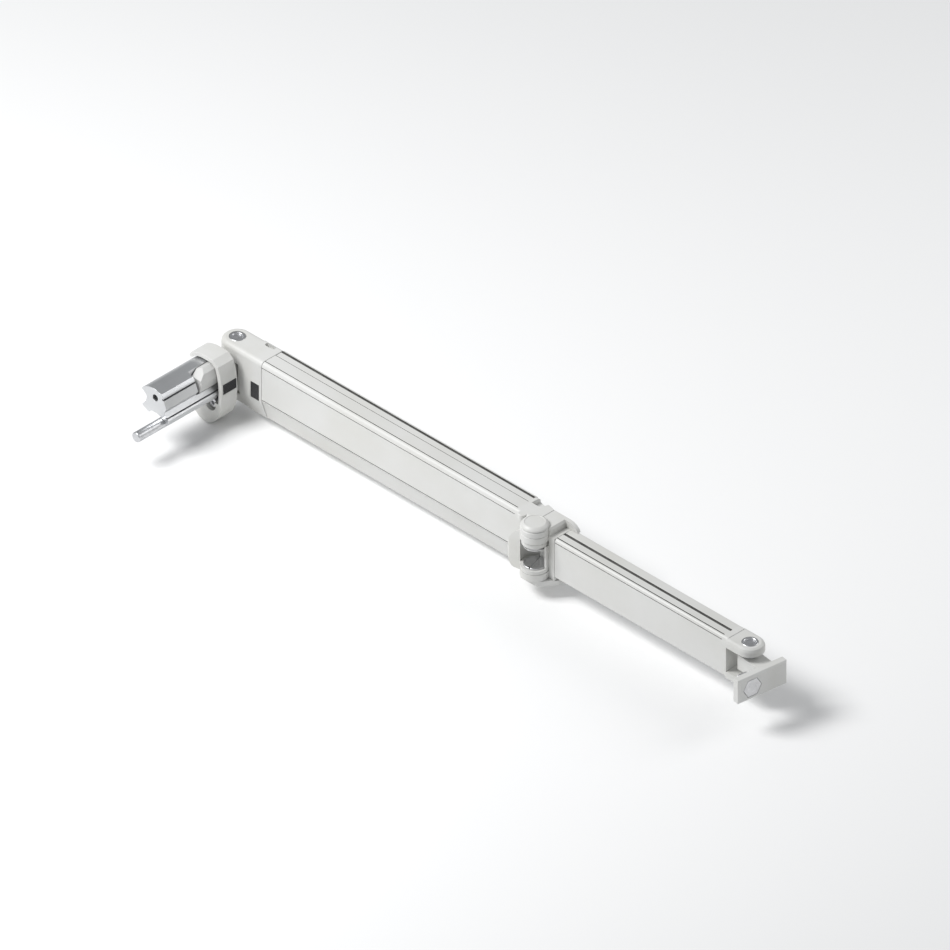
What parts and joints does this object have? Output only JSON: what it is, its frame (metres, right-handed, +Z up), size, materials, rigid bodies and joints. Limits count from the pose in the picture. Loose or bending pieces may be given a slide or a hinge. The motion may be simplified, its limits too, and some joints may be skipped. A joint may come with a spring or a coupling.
{
  "type": "folding arm",
  "caption": "Spring-loaded two-link folding arm with a clamp bracket at one end and a swivelling rail plate at the other.",
  "frame": {"origin": "middle of the mounting bar's flat end face", "axes": "+X along the open arm from the bracket to the rail plate, +Y from the bar's end along the bar to the arm, +Z up"},
  "size_m": [0.7726, 0.1678, 0.0834],
  "materials": {
    "coated_aluminium": "white powder coat with a fine orange peel",
    "cast_aluminium": "white powder coat over a die casting, slightly coarser",
    "bare_aluminium": "natural anodised extrusion with fine lines along it",
    "steel": "zinc-plated and turned or drawn",
    "spring_steel": "oil-blackened spring steel",
    "black_plastic": "moulded dark nylon"
  },
  "bodies": {
    "bracket": {"mounting_bar": "bare_aluminium", "pitch_rod": "steel", "shoulder_collar": "cast_aluminium", "collar_inlay": "black_plastic", "lobe_screw": "steel", "clamp_wedge": "cast_aluminium", "wedge_screw": "steel", "shoulder_yoke": "cast_aluminium", "shoulder_bush_lower": "black_plastic", "shoulder_bush_upper": "black_plastic"},
    "upper_arm": {"shoulder_fork": "cast_aluminium", "fork_inlay": "black_plastic", "shoulder_pin": "steel", "shoulder_pin_clip": "spring_steel", "upper_tube": "coated_aluminium", "shoulder_screw_1": "steel", "shoulder_screw_2": "steel", "elbow_screw_1": "steel", "elbow_screw_2": "steel", "anchor_screw_1": "steel", "spring_anchor": "steel", "main_spring": "spring_steel", "elbow_housing": "cast_aluminium", "cable_pulley": "bare_aluminium", "elbow_bush_lower": "black_plastic", "elbow_bush_upper": "black_plastic"},
    "spring_carriage": {"spring_carriage": "steel", "arm_cable": "steel", "cable_ferrule": "steel"},
    "forearm": {"elbow_fork": "cast_aluminium", "elbow_cap": "cast_aluminium", "elbow_pin_upper": "steel", "elbow_pin_lower": "steel", "elbow_base_plate": "cast_aluminium", "base_plate_screw": "steel", "cable_wrap": "steel", "wrap_ferrule": "steel", "forearm_tube": "coated_aluminium", "forearm_screw_1": "steel", "forearm_screw_2": "steel", "front_fork": "cast_aluminium", "front_pin": "steel", "front_pin_clip": "spring_steel"},
    "front_connector": {"rail_plate": "cast_aluminium", "rail_bolt": "steel", "rail_nut": "steel", "rail_washer": "steel", "front_bush": "black_plastic", "front_washer_lower": "steel", "front_washer_upper": "steel"}
  },
  "joints": [
    {"name": "shoulder", "type": "hinge", "parent": "bracket", "child": "upper_arm", "pos_m": [0, 0.114, -0.042], "axis": [0, 0, 1], "range_deg": [0, 90]},
    {"name": "elbow", "type": "hinge", "parent": "upper_arm", "child": "forearm", "pos_m": [0.433, 0.093, -0.042], "axis": [0, 0, 1], "range_deg": [-170, 0], "stiffness_Nm_per_rad": 0.8, "springref_deg": 85.94},
    {"name": "spring_slide", "type": "slide", "parent": "upper_arm", "child": "spring_carriage", "axis": [1, 0, 0], "range_m": [0, 0.032]},
    {"name": "front_swivel", "type": "hinge", "parent": "forearm", "child": "front_connector", "pos_m": [0.7134, 0.1108, -0.042], "axis": [0, 0, 1], "range_deg": [-15, 90]}
  ],
  "couplings": [
    {"joint": "spring_slide", "follows": "elbow", "m_per_rad": -0.0105}
  ]
}
